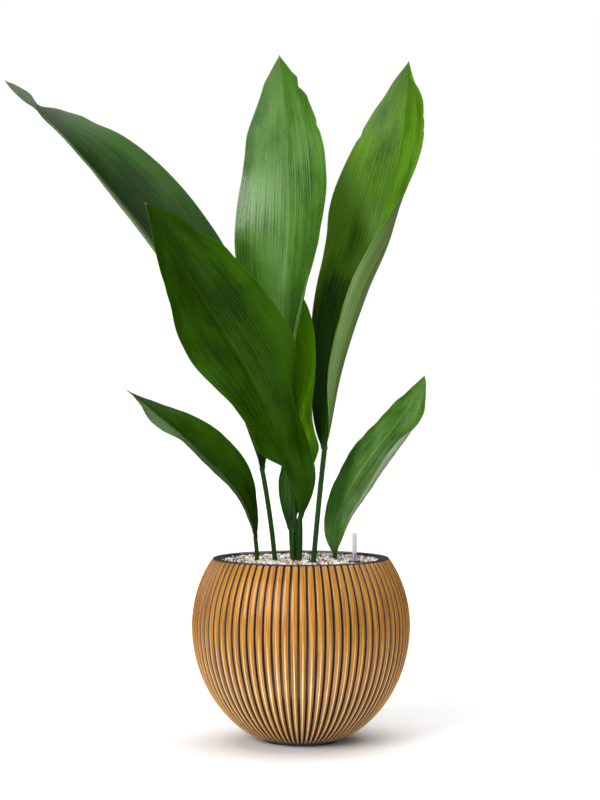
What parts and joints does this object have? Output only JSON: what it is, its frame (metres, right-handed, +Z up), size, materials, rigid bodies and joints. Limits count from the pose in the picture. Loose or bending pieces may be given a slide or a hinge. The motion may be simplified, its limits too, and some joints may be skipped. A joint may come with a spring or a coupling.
{
  "type": "potted cast iron plant",
  "caption": "Cast iron plant with long arching strap leaves in a ribbed ball planter filled with mineral granules, with a sliding-float water gauge.",
  "frame": {"origin": "centre of the planter's flat base, on the floor", "axes": "+Z up; the front faces -Y; +X to the viewer's right"},
  "size_m": [0.5678, 0.2924, 0.9151],
  "materials": {
    "planter": "satin",
    "granules": "matte",
    "rhizome": "matte",
    "leaf_far_left": "satin",
    "leaf_front_broad": "satin",
    "leaf_centre_tall": "satin",
    "leaf_right_tall": "satin",
    "leaf_back_centre": "satin",
    "leaf_low_left": "satin",
    "leaf_low_right": "satin",
    "dry_sheath": "matte",
    "young_sheath": "satin",
    "gauge_guide": "satin",
    "gauge_collar": "satin",
    "gauge_cap": "gloss",
    "gauge_sight": "gloss",
    "gauge_float": "satin",
    "gauge_tip": "satin"
  },
  "bodies": {
    "potted_plant": {"planter": "planter", "granule_bed": "granules", "rhizome": "rhizome", "leaf_far_left": "leaf_far_left", "leaf_front_broad": "leaf_front_broad", "leaf_centre_tall": "leaf_centre_tall", "leaf_right_tall": "leaf_right_tall", "leaf_back_centre": "leaf_back_centre", "leaf_low_left": "leaf_low_left", "leaf_low_right": "leaf_low_right", "dry_sheath": "dry_sheath", "young_sheath": "young_sheath", "gauge_guide_tube": "gauge_guide", "gauge_collar": "gauge_collar", "gauge_cap": "gauge_cap", "gauge_sight_tube": "gauge_sight"},
    "gauge_float": {"gauge_float_rod": "gauge_float", "gauge_float_tip": "gauge_tip"}
  },
  "joints": [
    {"name": "gauge_float_slide", "type": "slide", "parent": "potted_plant", "child": "gauge_float", "axis": [0, 0, 1], "range_m": [0, 0.022]}
  ]
}
